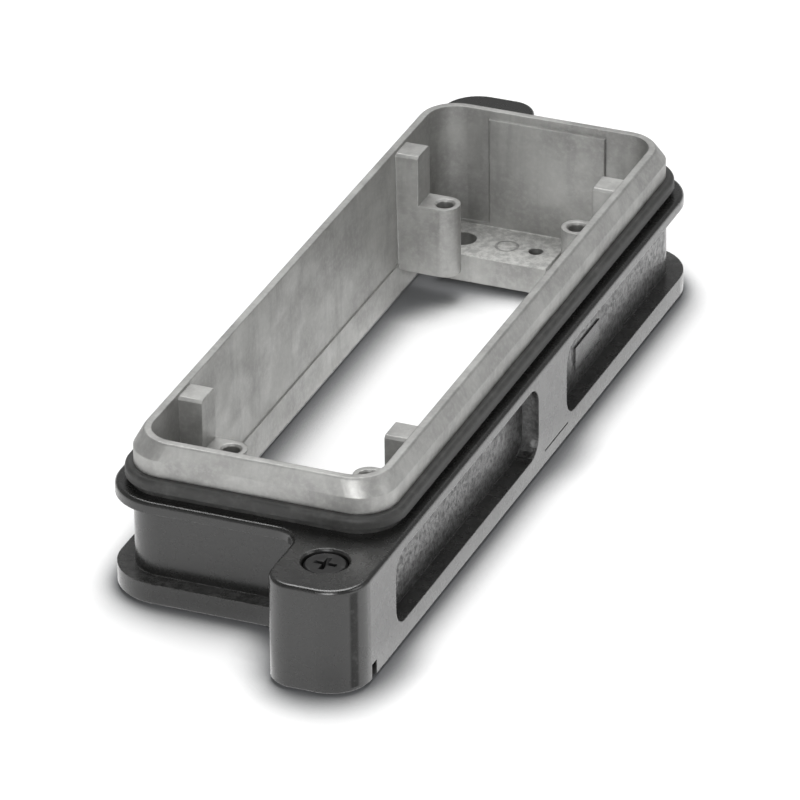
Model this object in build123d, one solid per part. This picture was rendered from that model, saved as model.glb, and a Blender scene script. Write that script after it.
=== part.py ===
from build123d import *
import os

os.makedirs("parts", exist_ok=True)

# Two heights closer than this are one height
CLOSE = 0.01

# The origin is the centre of the base plane. X is the short way, Y the long way, Z is up.
# Every feature has its twin half a turn round Z.

# Insert interface: four tapped seats
PITCH_X = 27.0
PITCH_Y = 104.0
SEAT_Z = 19.8
SEAT_FOOT_Z = 5.4
SEAT_W = 6.0
TAP_D = 3.3
TAP_DEPTH = 12.0
TAP_SINK = 0.4

# Collar
MOUTH_W = 44.9
MOUTH_L = 142.9
MOUTH_R = 5.7
RIM_T = 1.6
RIM_Z = 30.8
RIM_CHAMFER = 0.3
FOOT_OUT = 1.35
FOOT_Z = 24.5
FOOT_TOP_Z = 27.75
NECK_IN = 1.2

# Inside walls
WALL_DRAFT = 0.45
BAND_Z = 6.8
BAND_STEP = 0.25
PANEL_W = 24.0
PANEL_BELOW_RIM = 1.6
PANEL_ROUND = 0.3

# Guide pillars on the seats
PILLAR_X = 17.8
PILLAR_BELOW_RIM = 0.6
PILLAR_CHAMFER = 0.5

# Ledge at each end
LEDGE_Z = 6.1
LEDGE_FOOT_Z = 0.4
LEDGE_FRONT_Y = 58.0
LEDGE_X0 = -17.8
LEDGE_X1 = 4.8
LEDGE_HOLE_BACK = 6.3
LEDGE_HOLE_IN = 2.9
LEDGE_HOLE_D = 5.6
LEDGE_TAP_IN = 4.5
LEDGE_TAP_D = 2.9

# Flanges and waist
FLANGE_OUT = 3.35
FLANGE_R = 10.3
FLANGE_Z = 20.9
FLANGE_T = 2.2
BASE_T = 4.2
WAIST_IN = 3.3
WAIST_R = 7.0
TOP_ROUND = 0.8
BOTTOM_CHAMFER = 0.4

# Windows in the flush sides
WEB_L = 14.2
WINDOW_R = 4.0
SCORE_Y0 = -4.0
SCORE_Y1 = 7.8
SCORE_Z = 2.9
SCORE_W = 0.3
SCORE_DEPTH = 0.25
PAD_Y = 25.9
PAD_L = 12.7
PAD_Z = 9.8
PAD_H = 4.8
PAD_T = 0.3

# Screw bosses
BOSS_W = 18.0
BOSS_REACH = 18.4
BOSS_R_SIDE = 7.5
BOSS_R_IN = 5.2
BOSS_ROOT_R = 4.5
BOSS_BACK = 0.9
NOTCH_Y = 10.0
NOTCH_W = 2.2
NOTCH_H = 3.2
NOTCH_DEPTH = 2.0

# Captive screws
SCREW_SIDE = 9.8
SCREW_FRONT = 10.5
HEAD_D = 8.0
HEAD_H = 3.3
HEAD_SUNK = 0.5
HEAD_CHAMFER = 0.4
HEAD_GAP = 0.25
LIP_CHAMFER = 0.35
SHANK_D = 3.9
THREAD_D = 4.9
THREAD_TIP = 0.6
TRAVEL = 6.8
BORE_GAP = 0.25
FLOOR_T = 1.2
RECESS_ARM = 2.2
RECESS_W = 0.95
RECESS_DEPTH = 1.9

# Spring washer and retaining ring
WASHER_D = 7.7
WASHER_T = 1.2
WASHER_GAP = 0.1
WASHER_SPLIT = 0.8
RING_D = 7.4
RING_T = 1.5
RING_GAP = 0.15
STOP_GAP = 0.2

# Gaskets
SEAL_OUT = 1.6
SEAL_ROUND = 1.0
SEAL_BEAD_Z = 22.2
SEAL_UNDERCUT = 1.0
BASE_SEAL_IN = 1.9
BASE_SEAL_W = 3.0
BASE_SEAL_DEPTH = 2.0
BASE_SEAL_PROUD = 0.4

# Worked out from the sizes above
RIM_W = MOUTH_W + 2 * RIM_T
RIM_L = MOUTH_L + 2 * RIM_T
RIM_R = MOUTH_R + RIM_T
FOOT_W = RIM_W + 2 * FOOT_OUT
FOOT_L = RIM_L + 2 * FOOT_OUT
NECK_W = FOOT_W - 2 * NECK_IN
NECK_L = FOOT_L - 2 * NECK_IN
FLANGE_W = FOOT_W + 2 * FLANGE_OUT
FLANGE_L = FOOT_L + 2 * FLANGE_OUT
WAIST_W = FLANGE_W - 2 * WAIST_IN
WAIST_L = FLANGE_L - 2 * WAIST_IN
GROOVE_TOP_Z = FLANGE_Z - FLANGE_T
THROAT_W = MOUTH_W - 2 * (WALL_DRAFT + BAND_STEP)
THROAT_L = MOUTH_L - 2 * (WALL_DRAFT + BAND_STEP)
BOSS_X = FLANGE_W / 2 - BOSS_W
BOSS_Y = -FLANGE_L / 2 - BOSS_REACH
SCREW_X = FLANGE_W / 2 - SCREW_SIDE
SCREW_Y = BOSS_Y + SCREW_FRONT
HEAD_TOP_Z = FLANGE_Z - HEAD_SUNK
HEAD_Z = HEAD_TOP_Z - HEAD_H
WASHER_Z = HEAD_Z - WASHER_T
FLOOR_Z = WASHER_Z - TRAVEL
RING_Z = FLOOR_Z - FLOOR_T - RING_T
THREAD_Z = RING_Z - STOP_GAP
TIP_Z = -BASE_SEAL_PROUD


def slab(width, length, radius, z0, z1):
    """A rounded rectangle between two heights."""
    return extrude(Plane.XY.offset(z0) * RectangleRounded(width, length, radius), z1 - z0)


def drafted(low, high, z0, z1):
    """A wall solid between two rounded rectangles, each (width, length, radius)."""
    bottom = Plane.XY.offset(z0) * RectangleRounded(*low)
    top = Plane.XY.offset(z1) * RectangleRounded(*high)
    return loft([bottom.face(), top.face()], ruled=True)


def block(x0, x1, y0, y1, z0, z1):
    """A box between two corners."""
    return Pos(x0, y0, z0) * Box(x1 - x0, y1 - y0, z1 - z0, align=(Align.MIN, Align.MIN, Align.MIN))


def post(x, y, diameter, z0, z1):
    """An upright cylinder between two heights."""
    return Pos(x, y, z0) * Cylinder(diameter / 2, z1 - z0, align=(Align.CENTER, Align.CENTER, Align.MIN))


def with_twin(shape):
    """The shape and its twin half a turn round Z."""
    return shape + shape.rotate(Axis.Z, 180)


def rim_loop(shape, z):
    """The edges of a shape that lie flat at one height."""
    edges = [(edge, edge.bounding_box()) for edge in shape.edges()]
    return [edge for edge, box in edges if abs(box.min.Z - z) < CLOSE and abs(box.max.Z - z) < CLOSE]


def boss_plan():
    """Plan of the near boss, with the side wall behind it squared off and its root faired into the end."""
    side = FLANGE_W / 2
    back = -FLANGE_L / 2 + FLANGE_R
    root_y = -FLANGE_L / 2
    body = Pos((BOSS_X + side) / 2, (BOSS_Y + back) / 2) * Rectangle(BOSS_W, back - BOSS_Y)
    for x, inward, radius in ((BOSS_X, 1, BOSS_R_IN), (side, -1, BOSS_R_SIDE)):
        square = Pos(x + inward * radius / 2, BOSS_Y + radius / 2) * Rectangle(radius, radius)
        body -= square - Pos(x + inward * radius, BOSS_Y + radius) * Circle(radius)
    root = Pos(BOSS_X - BOSS_ROOT_R / 2, root_y - BOSS_ROOT_R / 2) * Rectangle(BOSS_ROOT_R, BOSS_ROOT_R)
    return body + (root - Pos(BOSS_X - BOSS_ROOT_R, root_y - BOSS_ROOT_R) * Circle(BOSS_ROOT_R))


def outline():
    """Plan of the flanges with both bosses."""
    plan = boss_plan()
    return RectangleRounded(FLANGE_W, FLANGE_L, FLANGE_R) + plan + plan.rotate(Axis.Z, 180)


def side_opening(y0, y1):
    """The mouth of a window through the +X side, with round corners."""
    height = GROOVE_TOP_Z - BASE_T
    mouth = Plane.YZ.offset(WAIST_W / 2 - 1) * Pos((y0 + y1) / 2, BASE_T + height / 2)
    return extrude(mouth * RectangleRounded(y1 - y0, height, WINDOW_R), WAIST_IN + 3)


def waist_cut():
    """What is cut away between the flanges: a closed window beside the near boss, then from the web an open
    recess that runs round the far end up to the far boss, whose side is faired into the waist wall."""
    z0, z1 = BASE_T, GROOVE_TOP_Z
    around = slab(2 * FLANGE_W, 2 * FLANGE_L, FLANGE_R, z0, z1) - slab(WAIST_W, WAIST_L, WAIST_R, z0, z1)
    closed = side_opening(-FLANGE_L / 2 + BOSS_BACK, -WEB_L / 2)
    open_side = side_opening(WEB_L / 2, FLANGE_L)
    far_end = block(-BOSS_X, WAIST_W / 2, WAIST_L / 2 - WAIST_R, FLANGE_L, z0, z1)
    fair_x, fair_y = -BOSS_X + BOSS_ROOT_R, WAIST_L / 2 + BOSS_ROOT_R
    fairing = block(-BOSS_X, fair_x, WAIST_L / 2 - WAIST_R, fair_y, z0, z1)
    fairing -= post(fair_x, fair_y, 2 * BOSS_ROOT_R, z0, z1)
    return (closed + open_side + far_end - fairing) & around


def body_shell():
    """The flanges, waist, webs and bosses, solid right through."""
    shell = extrude(outline(), FLANGE_Z)
    shell = fillet(rim_loop(shell, FLANGE_Z), TOP_ROUND)
    shell = chamfer(rim_loop(shell, 0), BOTTOM_CHAMFER)
    shell -= with_twin(waist_cut())
    side = FLANGE_W / 2
    score = block(side - SCORE_DEPTH, side + 1, SCORE_Y0, SCORE_Y1, SCORE_Z, SCORE_Z + SCORE_W)
    notch_y = BOSS_Y + NOTCH_Y
    notch = block(side - NOTCH_DEPTH, side + 1, notch_y - NOTCH_W, notch_y, -1, NOTCH_H)
    pad = Pos(WAIST_W / 2, PAD_Y, PAD_Z) * Box(2 * PAD_T, PAD_L, PAD_H)
    return shell - with_twin(score + notch) + with_twin(pad)


def collar():
    """The foot that overhangs the gasket, the bevel up to the rim and the neck below, solid right through."""
    crown_z, trim = RIM_Z - RIM_CHAMFER, 2 * RIM_CHAMFER
    foot = slab(FOOT_W, FOOT_L, RIM_R, FOOT_Z, FOOT_TOP_Z)
    bevel = drafted((FOOT_W, FOOT_L, RIM_R), (RIM_W, RIM_L, RIM_R), FOOT_TOP_Z, crown_z)
    crown = drafted((RIM_W, RIM_L, RIM_R), (RIM_W - trim, RIM_L - trim, RIM_R - RIM_CHAMFER), crown_z, RIM_Z)
    neck = slab(NECK_W, NECK_L, RIM_R, FLANGE_Z - 1, FOOT_Z)
    return neck + foot + bevel + crown


def cavity():
    """The open inside: straight below the band line, wider and drafted above it. A flat panel is left standing
    on the middle of each end wall, flush with the wall below the line."""
    throat = slab(THROAT_W, THROAT_L, MOUTH_R - BAND_STEP, -1, BAND_Z)
    belt = (THROAT_W + 2 * BAND_STEP, THROAT_L + 2 * BAND_STEP, MOUTH_R)
    mouth = (MOUTH_W, MOUTH_L, MOUTH_R)
    upper = drafted(belt, mouth, BAND_Z, RIM_Z)
    above = slab(*mouth, RIM_Z, RIM_Z + 1)
    half, top = PANEL_W / 2, RIM_Z - PANEL_BELOW_RIM
    panel = block(-half, half, THROAT_L / 2, MOUTH_L / 2 + 1, BAND_Z - 1, top)
    panel = fillet(panel.edges().filter_by(Axis.Z).group_by(Axis.Y)[0], PANEL_ROUND)
    return throat + (upper - with_twin(panel)) + above


def seat(side, end):
    """An insert seat with its tapped hole, and the guide pillar on it against the long wall."""
    x, y = side * PITCH_X / 2, end * PITCH_Y / 2
    wall = side * (MOUTH_W + RIM_T) / 2
    y0, y1 = y - SEAT_W / 2, y + SEAT_W / 2
    base = post(x, y, SEAT_W, SEAT_FOOT_Z, SEAT_Z)
    base += block(min(x, wall), max(x, wall), y0, y1, SEAT_FOOT_Z, SEAT_Z)
    face = side * PILLAR_X
    pillar = block(min(face, wall), max(face, wall), y0, y1, SEAT_Z - 1, RIM_Z - PILLAR_BELOW_RIM)
    pillar = chamfer(pillar.edges().group_by(Axis.Z)[-1].filter_by(Axis.X), PILLAR_CHAMFER)
    hole = post(x, y, TAP_D, SEAT_Z - TAP_DEPTH, SEAT_Z + 1)
    sink = Pos(x, y, SEAT_Z - TAP_SINK) * Cone(TAP_D / 2, TAP_D / 2 + TAP_SINK, TAP_SINK,
                                              align=(Align.CENTER, Align.CENTER, Align.MIN))
    return base + pillar - hole - sink


def ledge():
    """The low block across the far end, with a clear hole in its corner and a tapped one near the middle."""
    step = block(LEDGE_X0, LEDGE_X1, LEDGE_FRONT_Y, MOUTH_L / 2, LEDGE_FOOT_Z, LEDGE_Z)
    hole_y = LEDGE_FRONT_Y + LEDGE_HOLE_BACK
    clear = post(LEDGE_X0 + LEDGE_HOLE_IN, hole_y, LEDGE_HOLE_D, LEDGE_FOOT_Z - 1, LEDGE_Z + 1)
    tapped = post(LEDGE_X1 - LEDGE_TAP_IN, hole_y, LEDGE_TAP_D, LEDGE_FOOT_Z - 1, LEDGE_Z + 1)
    return step - clear - tapped


def screw_bore():
    """The near boss's stepped bore: lip and head above, shank through the floor, retaining ring pocket below."""
    head_r = HEAD_D / 2 + HEAD_GAP
    head = post(SCREW_X, SCREW_Y, 2 * head_r, FLOOR_Z, FLANGE_Z + 1)
    lip = Cone(head_r, head_r + LIP_CHAMFER + 1, LIP_CHAMFER + 1, align=(Align.CENTER, Align.CENTER, Align.MIN))
    head += Pos(SCREW_X, SCREW_Y, FLANGE_Z - LIP_CHAMFER) * lip
    shank = post(SCREW_X, SCREW_Y, THREAD_D + 2 * BORE_GAP, 0, FLOOR_Z + 1)
    pocket = post(SCREW_X, SCREW_Y, RING_D, -1, RING_Z + RING_T)
    return head + shank + pocket


def base_groove():
    """The ring groove of the base gasket."""
    inner = (THROAT_W + 2 * BASE_SEAL_IN, THROAT_L + 2 * BASE_SEAL_IN, MOUTH_R + BASE_SEAL_IN)
    outer = tuple(size + grow * BASE_SEAL_W for size, grow in zip(inner, (2, 2, 1)))
    return outer, inner


def housing_casting():
    """The one-piece casting."""
    outer, inner = base_groove()
    groove = slab(*outer, -1, BASE_SEAL_DEPTH) - slab(*inner, -1, BASE_SEAL_DEPTH)
    casting = body_shell() + collar() - cavity()
    limit = slab(NECK_W, NECK_L, RIM_R, 0, FOOT_Z)
    limit += slab(RIM_W - RIM_T, RIM_L - RIM_T, RIM_R, FOOT_Z - 1, RIM_Z)
    for side in (-1, 1):
        for end in (-1, 1):
            casting += seat(side, end) & limit
    casting += with_twin(ledge() & limit)
    return casting - with_twin(screw_bore()) - groove


def collar_gasket():
    """Rubber ring round the neck under the foot: a bead with a round shoulder, undercut below."""
    width, length, radius = FOOT_W + 2 * SEAL_OUT, FOOT_L + 2 * SEAL_OUT, RIM_R + SEAL_OUT
    bead = fillet(rim_loop(slab(width, length, radius, SEAL_BEAD_Z, FOOT_Z), FOOT_Z), SEAL_ROUND)
    trim = 2 * SEAL_UNDERCUT
    heel = slab(width - trim, length - trim, radius - SEAL_UNDERCUT, FLANGE_Z, SEAL_BEAD_Z)
    return bead + heel - slab(NECK_W, NECK_L, RIM_R, FLANGE_Z - 1, FOOT_Z + 1)


def base_gasket():
    """Rubber ring in the base groove, standing proud of the base plane."""
    outer, inner = base_groove()
    return slab(*outer, -BASE_SEAL_PROUD, BASE_SEAL_DEPTH) - slab(*inner, -BASE_SEAL_PROUD, BASE_SEAL_DEPTH)


def fixing_screw():
    """Cheese-head screw with a cross recess, a thin shank and a thread that can't pass the retaining ring.
    Raised, it stands on its tip, level with the underside of the base gasket."""
    head = post(0, 0, HEAD_D, HEAD_Z, HEAD_TOP_Z)
    head = chamfer(rim_loop(head, HEAD_TOP_Z), HEAD_CHAMFER)
    arms = Box(2 * RECESS_ARM, RECESS_W, 2 * RECESS_DEPTH) + Box(RECESS_W, 2 * RECESS_ARM, 2 * RECESS_DEPTH)
    taper = Cone(RECESS_W / 2, RECESS_ARM, RECESS_DEPTH, align=(Align.CENTER, Align.CENTER, Align.MAX))
    head -= Pos(0, 0, HEAD_TOP_Z) * (arms & taper)
    shank = post(0, 0, SHANK_D, THREAD_Z, HEAD_Z)
    thread = post(0, 0, THREAD_D, TIP_Z, THREAD_Z)
    thread = chamfer(rim_loop(thread, TIP_Z), THREAD_TIP)
    return Pos(SCREW_X, SCREW_Y) * (head + shank + thread)


def spring_washer():
    """Split washer under the screw head."""
    ring = post(0, 0, WASHER_D, WASHER_Z, HEAD_Z)
    ring -= post(0, 0, SHANK_D + 2 * WASHER_GAP, WASHER_Z, HEAD_Z)
    split = block(0, WASHER_D, -WASHER_SPLIT / 2, WASHER_SPLIT / 2, WASHER_Z, HEAD_Z)
    return Pos(SCREW_X, SCREW_Y) * (ring - split)


def retaining_ring():
    """Ring pressed into the boss from below, under the counterbore floor."""
    z0, z1 = RING_Z, RING_Z + RING_T
    ring = post(0, 0, RING_D, z0, z1) - post(0, 0, SHANK_D + 2 * RING_GAP, z0, z1)
    return Pos(SCREW_X, SCREW_Y) * ring


def save(shape, name):
    """Writes one node."""
    shape.label = name
    export_step(shape, f"parts/{name}.step")


save(housing_casting(), "housing_casting")
save(collar_gasket(), "collar_gasket")
save(base_gasket(), "base_gasket")
for label, turn in (("front", 0), ("rear", 180)):
    save(fixing_screw().rotate(Axis.Z, turn), f"{label}_fixing_screw")
    save(spring_washer().rotate(Axis.Z, turn), f"{label}_spring_washer")
    save(retaining_ring().rotate(Axis.Z, turn), f"{label}_retaining_ring")
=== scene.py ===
import math

import bpy
from mathutils import Matrix, Vector


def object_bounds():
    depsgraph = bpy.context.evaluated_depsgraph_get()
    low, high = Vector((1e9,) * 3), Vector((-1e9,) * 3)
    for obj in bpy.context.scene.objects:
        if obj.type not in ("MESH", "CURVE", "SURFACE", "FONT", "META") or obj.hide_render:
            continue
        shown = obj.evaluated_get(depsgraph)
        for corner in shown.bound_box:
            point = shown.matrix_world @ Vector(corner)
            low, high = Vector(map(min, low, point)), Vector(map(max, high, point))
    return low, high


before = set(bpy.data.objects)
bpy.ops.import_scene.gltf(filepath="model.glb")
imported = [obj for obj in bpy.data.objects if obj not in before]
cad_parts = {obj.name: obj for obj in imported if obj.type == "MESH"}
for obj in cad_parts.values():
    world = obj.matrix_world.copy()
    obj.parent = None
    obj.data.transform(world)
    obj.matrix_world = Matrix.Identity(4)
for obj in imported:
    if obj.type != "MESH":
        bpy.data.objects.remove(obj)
cad_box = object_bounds()

MM = 0.001

# Camera, as the photograph was taken: degrees, millimetres, and pixels of an 800 pixel frame
AZIMUTH, ELEVATION, ROLL = 22.42, 28.52, 0.64
AIM_X, AIM_Y = -5.82, 9.77
DISTANCE = 1582.7
FOCAL_PX = 8427.3
FRAME_PX = 800
SENSOR = 36.0

# Nearest and farthest that the camera draws, in metres
CLIP_NEAR, CLIP_FAR = 0.05, 50

# Tops of the two flanges, half widths of the bare inside, and how far a face may lie from its stated place
FLANGE_Z, BASE_Z = 20.9 * MM, 4.2 * MM
INSIDE_X, INSIDE_Y = 23.0 * MM, 72.0 * MM
FACE_SLACK, LEDGE_SLACK = 0.1 * MM, 0.2 * MM

# Edge of the coat inside the base: its height, half its softness, and how ragged it is
COAT_EDGE_Z, COAT_EDGE_SOFT, COAT_EDGE_RAGGED = 0.35 * MM, 0.15 * MM, 0.7 * MM

# Ledges, and the ring that a pin left on each: its line is full to one half width and gone by the next
LEDGE_Z, LEDGE_Y = 6.1 * MM, 57.5 * MM
PIN_X, PIN_Y, PIN_R = -5.7 * MM, 64.4 * MM, 2.1 * MM
PIN_LINE = 0.12 * MM, 0.32 * MM

# Flush sides, the sunk walls behind them, the deep corner of each closed window, and the plain pads
FLUSH_X, FACE_X, WALL_X, WALL_Y = 28.65 * MM, 28.6 * MM, 25.45 * MM, 78.0 * MM
WALL_Z, WALL_HALF_H = 11.45 * MM, 7.1 * MM
CORNER_X, CORNER_HALF, CORNER_Y = 22.0 * MM, 4.0 * MM, 67.0 * MM
PAD_Y, PAD_Z, PAD_HALF_L, PAD_HALF_H = 25.9 * MM, 9.8 * MM, 6.4 * MM, 2.45 * MM

# Window ends: how far the normal points along Y there, and what is left of the round corner at the flush side
END_FACING, ROUND_LEFT = 0.6, 0.15

# Sand on faces turned lengthwise: two parts of the normal along Y, and how sandy the face is at each
SAND_FACING, SAND_TURNED = (0.4, 0.7), (1.0, 0.3)

# Painted light in patches on the base flange top, where the flange above shades it: how far up such a face
# points, where it thickens, and how thick it is before there and beyond
UP_FACING, PAINTED_LIGHT_Y = 0.9, WALL_Y - 8 * MM
PAINTED_LIGHT_MIDDLE, PAINTED_LIGHT_ENDS = 0.35, 1.0

# Stripe down the outer corner of each boss, seen from the middle of that corner's round
BAND_X, BAND_Y, BAND_END = 21.25 * MM, 88.65 * MM, 0.9 * MM
BAND_ANGLE, BAND_INNER, BAND_OUTER = (math.radians(angle) for angle in (55, 4, 9))
BAND_DULL = 0.6

# Captive screws and their thread
SCREW_X, SCREW_Y = 18.95 * MM, 85.65 * MM
THREAD_PITCH, THREAD_TOP, THREAD_DEPTH = 0.8 * MM, 6.1 * MM, 0.4 * MM

# Radius of the edges that shading rounds: on the casting, and on the small pieces
CAST_EDGE, SMALL_EDGE = 0.35 * MM, 0.15 * MM

# Worn edges: how sharply the surface turns there, and the height over which the wear fades in
WORN_BEND = 0.03, 0.2
WORN_FADE = 1.0 * MM, 2.0 * MM

# Noise of the bare metal: size, detail, roughness, and stretch along each axis
CLOUD = 13 * MM, 4, 0.6, (1, 0.6, 1.2)
DRAG = 2.4 * MM, 4, 0.6, (1, 1, 0.12)
PITS = 0.9 * MM, 5, 0.65
SKIN_CHANGE = 5 * MM, 4
SCALE = 1.3 * MM, 5, 0.7

# Noise of the coat, in the same order
COAT_EDGE = 1.2 * MM, 4
WEAR = 2.2 * MM, 4, 0.65
BAND = 1.1 * MM, 3
GRAIN = 0.55 * MM, 4, 0.7
SAND = 0.9 * MM, 4, 0.75
PAINTED_LIGHT = 1.6 * MM, 4, 0.7
COAT_CHANGE = 3 * MM, 3

# Noise of the small pieces, in the same order
RUBBER_DUST = 2.5 * MM, 5, 0.65
RUBBER_SPECKS = 0.35 * MM, 3, 0.6
STEEL_RUB = 1.6 * MM, 5, 0.7
STEEL_FINE = 0.3 * MM, 3, 0.6
PLASTIC_FLOW = 1.2 * MM, 3

# Noise levels between which each mark comes in, and between which gloss changes
CLOUD_CUT, DRAG_CUT, PITS_CUT, SCALE_CUT = (0.34, 0.66), (0.42, 0.72), (0.4, 0.75), (0.35, 0.65)
WEAR_CUT, BAND_CUT, GRAIN_CUT, PAINTED_LIGHT_CUT = (0.38, 0.62), (0.3, 0.5), (0.45, 0.8), (0.35, 0.7)
SAND_CUT, CREST_CUT, FLUSH_CUT = (0.45, 0.7), (0.38, 0.6), (0.35, 0.7)
RUBBER_CUT, STEEL_CUT = (0.4, 0.75), (0.55, 0.8)
GLOSS_CUT = 0.3, 0.7

# Ranges that noise gives to the stripe, to the painted light on the base flange top, and to the painted light
# with grain on the flush sides
BAND_RANGE, PAINTED_LIGHT_RANGE, FLUSH_LIT_RANGE = (0.5, 1.0), (0.3, 1.0), (0.3, 0.8)

# Colours of the bare metal: its skin, drag lines, pits, the ledges and the pin mark
SKIN_DARK, SKIN_PALE = (0.325, 0.323, 0.315), (0.43, 0.43, 0.418)
DRAG_TONE, PIT_TONE = (0.27, 0.27, 0.265), (0.52, 0.52, 0.505)
LEDGE_DARK, LEDGE_PALE = (0.4, 0.4, 0.39), (0.62, 0.62, 0.6)
PIN_TONE = (0.12, 0.12, 0.12)

# Colours of the coat: its grain, the sandy walls with painted light, painted light on the base flange top,
# painted light on the flush sides, and worn edges
COAT_DARK, COAT_PALE = (0.009, 0.009, 0.0085), (0.022, 0.022, 0.021)
SAND_LIT_TONE, PAINTED_LIGHT_TONE = (0.06, 0.06, 0.058), (0.09, 0.09, 0.088)
FLUSH_LIT_TONE, WORN_TONE = (0.06, 0.06, 0.058), (0.2, 0.2, 0.195)

# Colours of the small pieces
RUBBER_DARK, RUBBER_DUSTY = (0.028, 0.028, 0.027), (0.055, 0.055, 0.053)
STEEL_DARK, STEEL_RUBBED = (0.028, 0.028, 0.028), (0.11, 0.11, 0.108)
PLASTIC_DARK, PLASTIC_PALE = (0.03, 0.03, 0.03), (0.05, 0.05, 0.05)

# How much of each mark's colour shows at its strongest
DRAG_SHARE, PIT_SHARE, PIN_SHARE = 0.4, 0.4, 0.45
GRAIN_SHARE, WORN_SHARE = 0.5, 0.35

# Metallic share, and the range of roughness, of each finish
SKIN_METALLIC, LEDGE_METALLIC, STEEL_METALLIC = 0.75, 0.35, 0.6
SKIN_ROUGHNESS, COAT_ROUGHNESS, SAND_ROUGHER = (0.42, 0.58), (0.24, 0.3), 0.08
RUBBER_ROUGHNESS, STEEL_ROUGHNESS, PLASTIC_ROUGHNESS = (0.5, 0.62), (0.28, 0.4), (0.5, 0.6)

# Shine: the clear layer on the coat, the specular level of both, and the sand from troughs to crests
GLAZE_WEIGHT, GLAZE_ROUGHNESS = 0.4, 0.22
COAT_SPECULAR, METAL_SPECULAR = 0.62, 0.5
SAND_SHINE = 0.6, 2.1

# Relief of each finish in metres, and the marks on the casting as multiples of its relief
CAST_RELIEF, RUBBER_RELIEF, STEEL_RELIEF = 0.05 * MM, 0.02 * MM, 0.012 * MM
GRAIN_HEIGHT, SAND_HEIGHT, SKIN_HEIGHT, PIN_DEPTH = 0.25, 7.0, 0.3, 4.0

# Floor: size in metres, colours, roughness, glow, and the extra glow that reflections see near the part
FLOOR_SIZE = 8
FLOOR_SHADE, FLOOR_PALE = (0.19, 0.194, 0.2), (0.93, 0.93, 0.93)
FLOOR_ROUGHNESS = 0.9
FLOOR_GLOW, REFLECTED_GLOW = 0.12, 0.6

# Contact shadow: its reach, and how open the floor is where it ends and where the extra glow comes in
CONTACT_REACH = 12 * MM
SHADOW_OPEN, GLOW_OPEN = (0.5, 1.0), (0.3, 0.55)

# Room: the strength of its walls, and how far up a direction points where that starts to fade
ROOM_LEVEL, ROOM_FADE = 0.38, 0.5

# Lamps: place and width in metres, and watts
LAMPS = {
    "key": ((-0.16, 0.35, 1.1), 0.75, 11.5),
    "side": ((0.95, 0.1, 0.65), 0.6, 1.9),
    "front": ((0.25, -1.1, 0.5), 0.6, 8.0),
    "strip": ((0.18, -0.54, 1.06), 0.4, 1.0),
}


def add_material(name):
    """A new material with an empty tree, its output and one Principled shader."""
    material = bpy.data.materials.new(name)
    material.use_nodes = True
    tree = material.node_tree
    tree.nodes.clear()
    output = tree.nodes.new("ShaderNodeOutputMaterial")
    shader = tree.nodes.new("ShaderNodeBsdfPrincipled")
    tree.links.new(shader.outputs["BSDF"], output.inputs["Surface"])
    return material, Tree(tree), shader


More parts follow.
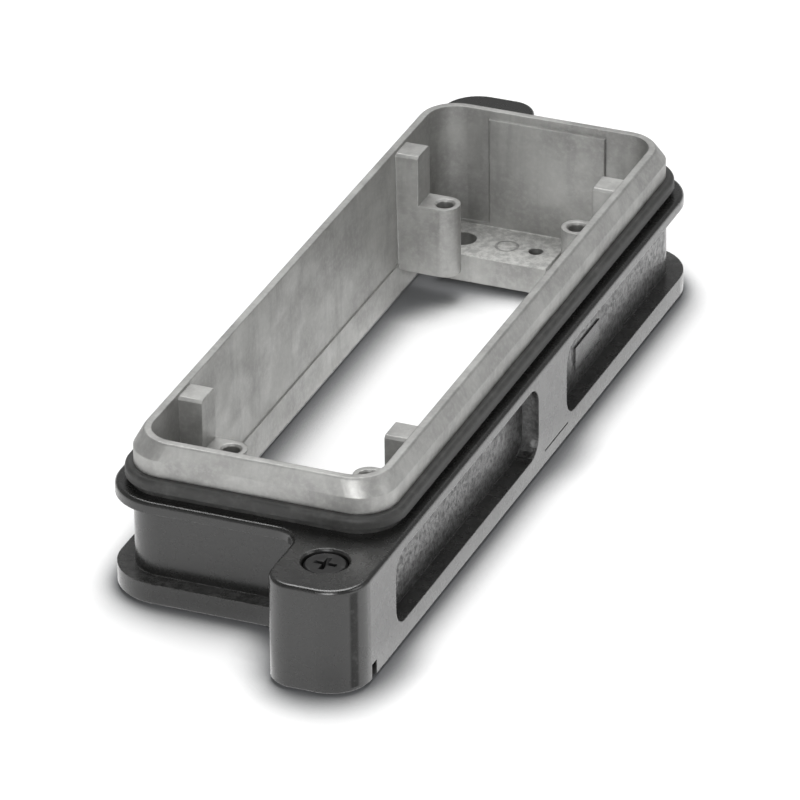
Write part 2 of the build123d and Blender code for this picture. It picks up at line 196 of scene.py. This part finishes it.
class Tree:
    """Short calls for the nodes that the materials share."""

    def __init__(self, tree):
        self.tree = tree
        self.place = self.add("TexCoord").outputs["Object"]

    def add(self, kind):
        return self.tree.nodes.new("ShaderNode" + kind)

    def link(self, source, target):
        """Joins two sockets, or sets the second to a number."""
        if isinstance(source, (int, float)):
            target.default_value = source
        else:
            self.tree.links.new(source, target)

    def math(self, kind, a, b=0.0):
        node = self.add("Math")
        node.operation = kind
        self.link(a, node.inputs[0])
        self.link(b, node.inputs[1])
        return node.outputs[0]

    def plus(self, a, b):
        return self.math("ADD", a, b)

    def minus(self, a, b):
        return self.math("SUBTRACT", a, b)

    def times(self, product, *others):
        for other in others:
            product = self.math("MULTIPLY", product, other)
        return product

    def over(self, a, b):
        return self.math("DIVIDE", a, b)

    def size(self, value):
        return self.math("ABSOLUTE", value)

    def sign(self, value):
        return self.math("SIGN", value)

    def larger(self, a, b):
        return self.math("MAXIMUM", a, b)

    def below(self, value, limit):
        """1 below the limit, 0 above."""
        return self.math("LESS_THAN", value, limit)

    def above(self, value, limit):
        """1 above the limit, 0 below."""
        return self.math("GREATER_THAN", value, limit)

    def near(self, value, middle, half):
        """1 within half of the middle, 0 beyond."""
        return self.below(self.size(self.minus(value, middle)), half)

    def step(self, value, low, high, start=0.0, end=1.0):
        """start below low, end above high, and a smooth change between."""
        node = self.add("MapRange")
        node.interpolation_type = "SMOOTHSTEP"
        self.link(value, node.inputs["Value"])
        for name, number in (("From Min", low), ("From Max", high), ("To Min", start), ("To Max", end)):
            node.inputs[name].default_value = number
        return node.outputs["Result"]

    def split(self, vector):
        """The three numbers of a vector."""
        node = self.add("SeparateXYZ")
        self.link(vector, node.inputs[0])
        return node.outputs

    def axes(self):
        """The place on the object, as three numbers."""
        return self.split(self.place)

    def normal(self):
        return self.add("NewGeometry").outputs["Normal"]

    def noise(self, size, detail=3.0, roughness=0.55, stretch=(1, 1, 1)):
        """Noise whose features are about size across."""
        mapping = self.add("Mapping")
        self.link(self.place, mapping.inputs["Vector"])
        mapping.inputs["Scale"].default_value = stretch
        node = self.add("TexNoise")
        self.link(mapping.outputs["Vector"], node.inputs["Vector"])
        node.inputs["Scale"].default_value = 1 / size
        node.inputs["Detail"].default_value = detail
        node.inputs["Roughness"].default_value = roughness
        return node.outputs["Fac"]

    def mix(self, factor, a, b):
        """A colour mix of two colours or colour sockets."""
        node = self.add("Mix")
        node.data_type = "RGBA"
        self.link(factor, node.inputs[0])
        for colour, target in ((a, node.inputs[6]), (b, node.inputs[7])):
            if isinstance(colour, tuple):
                target.default_value = (*colour, 1)
            else:
                self.link(colour, target)
        return node.outputs[2]

    def blend(self, factor, a, b):
        """A number mix of two numbers or sockets."""
        node = self.add("Mix")
        node.data_type = "FLOAT"
        self.link(factor, node.inputs[0])
        self.link(a, node.inputs[2])
        self.link(b, node.inputs[3])
        return node.outputs[0]

    def vectors(self, kind, *vectors):
        """The outputs of a calculation on one or two vectors."""
        node = self.add("VectorMath")
        node.operation = kind
        for vector, target in zip(vectors, node.inputs):
            self.link(vector, target)
        return node.outputs

    def bump(self, height, depth, normal):
        """That normal with a bump of that depth in metres."""
        node = self.add("Bump")
        node.inputs["Distance"].default_value = depth
        self.link(height, node.inputs["Height"])
        self.link(normal, node.inputs["Normal"])
        return node.outputs["Normal"]

    def soft_edges(self, radius):
        """The normal of edges rounded by that radius."""
        node = self.add("Bevel")
        node.samples = 6
        node.inputs["Radius"].default_value = radius
        return node.outputs["Normal"]


def worn_edges(tree, z):
    """The normal of rounded edges, and 1 on the edges, broken up by noise and fading out at the base."""
    soft = tree.soft_edges(CAST_EDGE)
    bend = tree.minus(1.0, tree.vectors("DOT_PRODUCT", soft, tree.normal())["Value"])
    wear = tree.step(tree.noise(*WEAR), *WEAR_CUT)
    return soft, tree.times(tree.step(bend, *WORN_BEND), wear, tree.step(z, *WORN_FADE))


def corner_band(tree, x, y, z):
    """How much duller the stripe down the outer corner of each screw boss is, and 0 elsewhere."""
    side = tree.times(tree.sign(y), -1.0)
    out_x = tree.minus(tree.times(x, side), BAND_X)
    out_y = tree.minus(tree.size(y), BAND_Y)
    off = tree.size(tree.minus(tree.math("ARCTAN2", out_x, out_y), BAND_ANGLE))
    stripe = tree.step(off, BAND_INNER, BAND_OUTER, BAND_DULL, 0.0)
    between = tree.near(z, FLANGE_Z / 2, FLANGE_Z / 2 - BAND_END)
    beyond = tree.times(tree.above(out_x, 0.0), tree.above(out_y, 0.0), between)
    ragged = tree.step(tree.noise(*BAND), *BAND_CUT, *BAND_RANGE)
    return tree.times(stripe, beyond, ragged)


def round_ends(tree, normal, x, walls):
    """The window ends shaded as if a round corner led into the wall behind."""
    lengthwise = tree.above(tree.size(tree.split(normal)["Y"]), END_FACING)
    deep = tree.step(tree.size(x), WALL_X, FACE_X, 1.0, ROUND_LEFT)
    push = tree.add("CombineXYZ")
    tree.link(tree.times(lengthwise, walls, deep, tree.sign(x)), push.inputs["X"])
    total = tree.vectors("ADD", normal, push.outputs[0])[0]
    return tree.vectors("NORMALIZE", total)[0]


def pin_mark(tree, x, y):
    """1 on the ring that the ejector pin left at each end, 0 elsewhere."""
    off_x = tree.minus(tree.times(x, tree.sign(y)), PIN_X)
    off_y = tree.minus(tree.size(y), PIN_Y)
    reach = tree.math("SQRT", tree.plus(tree.math("POWER", off_x, 2.0), tree.math("POWER", off_y, 2.0)))
    return tree.minus(1.0, tree.step(tree.size(tree.minus(reach, PIN_R)), *PIN_LINE))


def cast_metal(tree, x, y, z):
    """Bare die-cast metal: colour, roughness, metallic share and pin mark.

    The skin is cloudy, with drag lines down the walls and fine pits. The ledges are paler and less metallic.
    """
    skin = tree.mix(tree.step(tree.noise(*CLOUD), *CLOUD_CUT), SKIN_DARK, SKIN_PALE)
    skin = tree.mix(tree.step(tree.noise(*DRAG), *DRAG_CUT, 0.0, DRAG_SHARE), skin, DRAG_TONE)
    skin = tree.mix(tree.step(tree.noise(*PITS), *PITS_CUT, 0.0, PIT_SHARE), skin, PIT_TONE)
    rough = tree.step(tree.noise(*SKIN_CHANGE), *GLOSS_CUT, *SKIN_ROUGHNESS)

    ledge = tree.times(tree.near(z, LEDGE_Z, LEDGE_SLACK), tree.above(tree.size(y), LEDGE_Y))
    scale = tree.step(tree.noise(*SCALE), *SCALE_CUT)
    skin = tree.mix(ledge, skin, tree.mix(scale, LEDGE_DARK, LEDGE_PALE))
    metallic = tree.blend(ledge, SKIN_METALLIC, LEDGE_METALLIC)
    ring = tree.times(pin_mark(tree, x, y), ledge)
    return tree.mix(tree.times(ring, PIN_SHARE), skin, PIN_TONE), rough, metallic, ring


def bare_mask(tree, x, y, z):
    """1 on the bare collar and inside, 0 on the coat."""
    ragged = tree.times(tree.minus(tree.noise(*COAT_EDGE), 0.5), COAT_EDGE_RAGGED)
    off_coat = tree.step(tree.plus(z, ragged), COAT_EDGE_Z - COAT_EDGE_SOFT, COAT_EDGE_Z + COAT_EDGE_SOFT)
    inside = tree.times(tree.below(tree.size(x), INSIDE_X), tree.below(tree.size(y), INSIDE_Y))
    return tree.larger(tree.above(z, FLANGE_Z + FACE_SLACK), tree.times(inside, off_coat))


def sunk_walls(tree, x, y, z):
    """Two masks: the sunk walls behind the flush sides, and where the coat is sandy.

    It is sandy on those walls and in the deep corner of the closed windows, but not on the plain pads, and
    less on the window ends.
    """
    half_x, half_y = tree.size(x), tree.size(y)
    on_twin = tree.times(x, tree.sign(y))
    pad = tree.times(tree.near(half_y, PAD_Y, PAD_HALF_L), tree.near(z, PAD_Z, PAD_HALF_H),
                     tree.above(on_twin, 0.0))
    walls = tree.near(half_x, (WALL_X + FACE_X) / 2, (FACE_X - WALL_X) / 2 + FACE_SLACK)
    corner = tree.times(tree.near(half_x, CORNER_X, CORNER_HALF), tree.above(half_y, CORNER_Y),
                        tree.below(on_twin, 0.0))
    sunk = tree.times(tree.below(half_y, WALL_Y), tree.near(z, WALL_Z, WALL_HALF_H))
    ends = tree.step(tree.size(tree.split(tree.normal())["Y"]), *SAND_FACING, *SAND_TURNED)
    sandy = tree.times(tree.larger(walls, corner), sunk, tree.minus(1.0, pad), ends)
    return tree.times(walls, sunk), sandy


def coat_colour(tree, x, y, z, grain, sand, sandy, worn):
    """The black coat: fine grain, sand with painted light in the sunk parts, painted light in patches on the
    base flange, painted light on the flush sides, and worn edges.
    """
    coat = tree.mix(tree.step(grain, *GRAIN_CUT, 0.0, GRAIN_SHARE), COAT_DARK, COAT_PALE)
    # Lighter on the sand grains of the sunk walls: the sand's texture, together with painted light that lifts
    # these side-lit walls
    coat = tree.mix(tree.times(sandy, tree.step(sand, *SAND_CUT)), coat, SAND_LIT_TONE)
    # Painted light in patches on the base flange top, fuller towards the ends: it lifts the shade that the
    # flange above casts there
    light_patches = tree.step(tree.noise(*PAINTED_LIGHT), *PAINTED_LIGHT_CUT, *PAINTED_LIGHT_RANGE)
    at_ends = tree.step(tree.size(y), PAINTED_LIGHT_Y, WALL_Y, PAINTED_LIGHT_MIDDLE, PAINTED_LIGHT_ENDS)
    looks_up = tree.above(tree.split(tree.normal())["Z"], UP_FACING)
    dust = tree.times(tree.near(z, BASE_Z, FACE_SLACK), light_patches, at_ends, looks_up)
    coat = tree.mix(dust, coat, PAINTED_LIGHT_TONE)
    # Painted light on the flush sides: a lighter coat over the whole side, patchy with the grain
    flush = tree.above(tree.size(x), FLUSH_X)
    coat = tree.mix(tree.times(flush, tree.step(grain, *FLUSH_CUT, *FLUSH_LIT_RANGE)), coat, FLUSH_LIT_TONE)
    return tree.mix(tree.times(worn, WORN_SHARE), coat, WORN_TONE)


def cast_finish():
    """The casting: black coat outside, bare die-cast metal on the collar and inside."""
    material, tree, shader = add_material("cast_finish")
    x, y, z = tree.axes()
    bare = bare_mask(tree, x, y, z)
    skin, skin_rough, metallic, ring = cast_metal(tree, x, y, z)
    soft, worn = worn_edges(tree, z)
    walls, sandy = sunk_walls(tree, x, y, z)
    grain, sand = tree.noise(*GRAIN), tree.noise(*SAND)
    coat = coat_colour(tree, x, y, z, grain, sand, sandy, worn)
    coat_rough = tree.step(tree.noise(*COAT_CHANGE), *GLOSS_CUT, *COAT_ROUGHNESS)
    coat_rough = tree.plus(coat_rough, tree.times(sandy, SAND_ROUGHER))
    tree.link(tree.mix(bare, coat, skin), shader.inputs["Base Color"])
    tree.link(tree.times(bare, metallic), shader.inputs["Metallic"])
    tree.link(tree.blend(bare, coat_rough, skin_rough), shader.inputs["Roughness"])

    # Shine of the coat, less on the corner stripe and more on the crests of the sand
    crests = tree.blend(sandy, 1.0, tree.step(sand, *CREST_CUT, *SAND_SHINE))
    shine = tree.times(tree.minus(1.0, corner_band(tree, x, y, z)), crests)
    tree.link(tree.times(tree.minus(1.0, bare), shine, GLAZE_WEIGHT), shader.inputs["Coat Weight"])
    shader.inputs["Coat Roughness"].default_value = GLAZE_ROUGHNESS
    specular = tree.blend(bare, tree.times(shine, COAT_SPECULAR), METAL_SPECULAR)
    tree.link(specular, shader.inputs["Specular IOR Level"])

    # Relief of the coat and of the bare skin
    coat_height = tree.blend(sandy, tree.times(grain, GRAIN_HEIGHT), tree.times(sand, SAND_HEIGHT))
    skin_height = tree.minus(tree.times(grain, SKIN_HEIGHT), tree.times(ring, PIN_DEPTH))
    height = tree.blend(bare, coat_height, skin_height)
    tree.link(tree.bump(height, CAST_RELIEF, round_ends(tree, soft, x, walls)), shader.inputs["Normal"])
    return material


def rubber_finish():
    """Moulded rubber: dull, a little dusty, with mould specks."""
    material, tree, shader = add_material("rubber_finish")
    dust = tree.noise(*RUBBER_DUST)
    tree.link(tree.mix(tree.step(dust, *RUBBER_CUT), RUBBER_DARK, RUBBER_DUSTY), shader.inputs["Base Color"])
    tree.link(tree.step(dust, *GLOSS_CUT, *RUBBER_ROUGHNESS), shader.inputs["Roughness"])
    specks = tree.bump(tree.noise(*RUBBER_SPECKS), RUBBER_RELIEF, tree.soft_edges(SMALL_EDGE))
    tree.link(specks, shader.inputs["Normal"])
    return material


def thread(tree):
    """The height of a screw thread on the lower part of each shank."""
    x, y, z = tree.axes()
    side = tree.times(tree.sign(y), -1.0)
    off_x = tree.minus(tree.times(x, side), SCREW_X)
    off_y = tree.plus(tree.times(y, side), SCREW_Y)
    turn = tree.over(tree.math("ARCTAN2", off_y, off_x), 2 * math.pi)
    phase = tree.math("FRACT", tree.plus(tree.over(z, THREAD_PITCH), turn))
    ridge = tree.times(tree.size(tree.minus(phase, 0.5)), 2.0)
    return tree.times(ridge, tree.below(z, THREAD_TOP))


def screw_finish():
    """Blackened steel, rubbed here and there."""
    material, tree, shader = add_material("screw_finish")
    rub = tree.noise(*STEEL_RUB)
    tree.link(tree.mix(tree.step(rub, *STEEL_CUT), STEEL_DARK, STEEL_RUBBED), shader.inputs["Base Color"])
    shader.inputs["Metallic"].default_value = STEEL_METALLIC
    tree.link(tree.step(rub, *GLOSS_CUT, *STEEL_ROUGHNESS), shader.inputs["Roughness"])
    cut = tree.bump(thread(tree), THREAD_DEPTH, tree.soft_edges(SMALL_EDGE))
    tree.link(tree.bump(tree.noise(*STEEL_FINE), STEEL_RELIEF, cut), shader.inputs["Normal"])
    return material


def plastic_finish():
    """Moulded black plastic of the retaining rings."""
    material, tree, shader = add_material("plastic_finish")
    flow = tree.noise(*PLASTIC_FLOW)
    tree.link(tree.mix(flow, PLASTIC_DARK, PLASTIC_PALE), shader.inputs["Base Color"])
    tree.link(tree.step(flow, *GLOSS_CUT, *PLASTIC_ROUGHNESS), shader.inputs["Roughness"])
    return material


def dress(node, material):
    """Gives a CAD node its one material."""
    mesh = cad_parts[node].data
    mesh.materials.clear()
    mesh.materials.append(material)


def add_camera():
    """The camera of the photograph."""
    az, el, roll = (math.radians(angle) for angle in (AZIMUTH, ELEVATION, ROLL))
    back = Vector((math.sin(az) * math.cos(el), -math.cos(az) * math.cos(el), math.sin(el)))
    right = Vector((math.cos(az), math.sin(az), 0))
    down = right.cross(back)
    image_x = math.cos(roll) * right + math.sin(roll) * down
    image_y = -math.sin(roll) * right + math.cos(roll) * down
    data = bpy.data.cameras.new("camera")
    data.sensor_width = SENSOR
    data.lens = FOCAL_PX * SENSOR / FRAME_PX
    data.clip_start, data.clip_end = CLIP_NEAR, CLIP_FAR
    camera = bpy.data.objects.new("camera", data)
    bpy.context.scene.collection.objects.link(camera)
    turn = Matrix((image_x, -image_y, back)).transposed().to_4x4()
    place = Vector((AIM_X, AIM_Y, 0)) * MM + back * DISTANCE * MM
    camera.matrix_world = Matrix.Translation(place) @ turn
    bpy.context.scene.camera = camera


def add_softbox(name, place, width, watts):
    """A square area lamp that faces the middle of the base."""
    data = bpy.data.lights.new(name, "AREA")
    data.size = width
    data.energy = watts
    lamp = bpy.data.objects.new(name, data)
    lamp.location = place
    lamp.rotation_euler = (-Vector(place)).to_track_quat("-Z", "Y").to_euler()
    bpy.context.scene.collection.objects.link(lamp)


def add_floor(z):
    """A wide pale floor that glows a little to the camera and in reflections.

    Close to the part the camera sees it darken into a contact shadow, while reflections see it brighter.
    """
    bpy.ops.mesh.primitive_plane_add(size=FLOOR_SIZE, location=(0, 0, z))
    floor = bpy.context.object
    floor.name = "floor"
    material, tree, shader = add_material("floor_paper")
    shader.inputs["Roughness"].default_value = FLOOR_ROUGHNESS
    shader.inputs["Specular IOR Level"].default_value = 0.0
    ray = tree.add("LightPath").outputs
    seen = tree.larger(tree.larger(ray["Is Camera Ray"], ray["Is Glossy Ray"]), ray["Is Transmission Ray"])
    contact = tree.add("AmbientOcclusion")
    contact.inputs["Distance"].default_value = CONTACT_REACH
    openness = contact.outputs["AO"]
    away = tree.step(openness, *SHADOW_OPEN)
    lifted = tree.times(ray["Is Glossy Ray"], tree.minus(1.0, away), tree.step(openness, *GLOW_OPEN))
    lit = tree.blend(ray["Is Camera Ray"], 1.0, away)
    tree.link(tree.mix(lit, FLOOR_SHADE, FLOOR_PALE), shader.inputs["Base Color"])
    shader.inputs["Emission Color"].default_value = (1, 1, 1, 1)
    glow = tree.plus(tree.times(seen, lit, FLOOR_GLOW), tree.times(lifted, REFLECTED_GLOW))
    tree.link(glow, shader.inputs["Emission Strength"])
    floor.data.materials.append(material)


def add_world():
    """A dim room with a dark ceiling."""
    world = bpy.data.worlds.new("studio")
    bpy.context.scene.world = world
    world.use_nodes = True
    nodes, links = world.node_tree.nodes, world.node_tree.links
    nodes.clear()
    output, room, place, axes, ramp = (nodes.new("ShaderNode" + kind) for kind in (
        "OutputWorld", "Background", "TexCoord", "SeparateXYZ", "MapRange"))
    links.new(place.outputs["Generated"], axes.inputs[0])
    links.new(axes.outputs["Z"], ramp.inputs["Value"])
    for name, number in (("From Min", ROOM_FADE), ("From Max", 1.0), ("To Min", ROOM_LEVEL), ("To Max", 0.0)):
        ramp.inputs[name].default_value = number
    links.new(ramp.outputs["Result"], room.inputs["Strength"])
    links.new(room.outputs[0], output.inputs["Surface"])


FINISHES = {
    cast_finish: ("housing_casting",),
    rubber_finish: ("collar_gasket", "base_gasket"),
    screw_finish: ("front_fixing_screw", "rear_fixing_screw", "front_spring_washer", "rear_spring_washer"),
    plastic_finish: ("front_retaining_ring", "rear_retaining_ring"),
}
for finish, node_names in FINISHES.items():
    made = finish()
    for node_name in node_names:
        dress(node_name, made)

add_camera()
add_floor(cad_box[0][2])
add_world()
for lamp_name, lamp_values in LAMPS.items():
    add_softbox(lamp_name, *lamp_values)
bpy.context.scene.view_settings.view_transform = "Standard"
